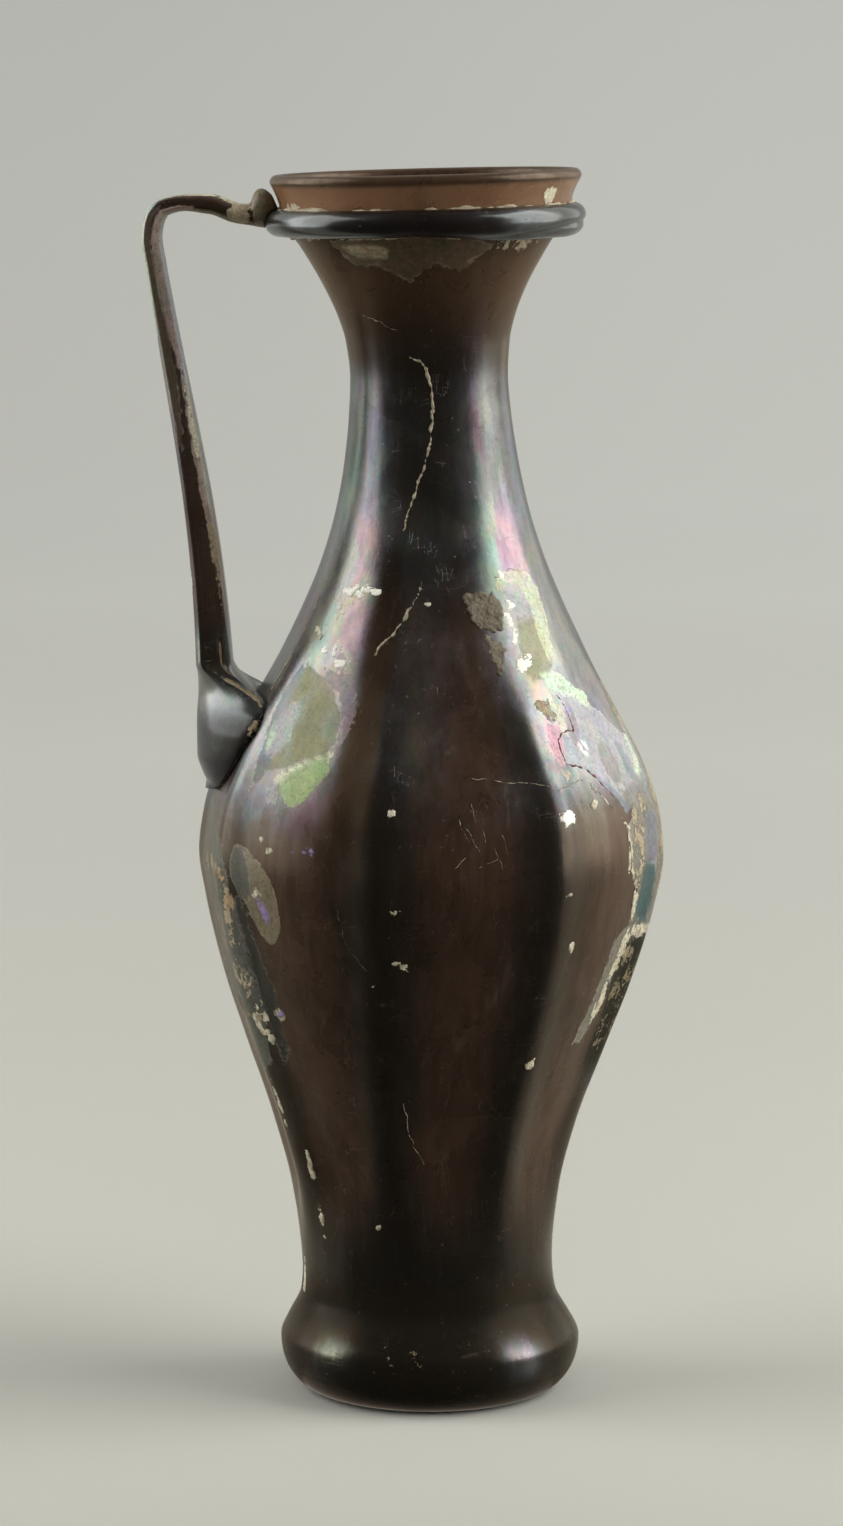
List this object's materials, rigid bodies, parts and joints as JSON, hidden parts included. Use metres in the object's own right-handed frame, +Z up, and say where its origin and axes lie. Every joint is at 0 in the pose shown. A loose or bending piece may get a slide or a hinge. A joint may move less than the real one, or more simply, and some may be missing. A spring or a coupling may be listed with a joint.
{
  "type": "pitcher",
  "caption": "Ribbed glass pitcher with a flared mouth, a trail wound under the lip and a drawn strap handle from the trail to the shoulder.",
  "frame": {"origin": "middle of the bounding box's underside, on the surface that the pitcher stands on", "axes": "+Z up out of the mouth, the handle towards -X, +Y away from the side that the picture shows"},
  "size_m": [0.1012, 0.0904, 0.2405],
  "materials": {
    "body_glass": "dark purple-brown blown glass, satin, with iridescent weathering and patches of pale crust",
    "trail_glass": "dark grey-brown trailed glass, satin, with fine pitting and pale crust in its seams",
    "handle_glass": "dark brown drawn glass, glossy to satin, with crust along the arm and iridescence at the bend"
  },
  "bodies": {
    "root": {"vessel": "body_glass", "rim_trail": "trail_glass", "handle": "handle_glass"}
  },
  "joints": []
}
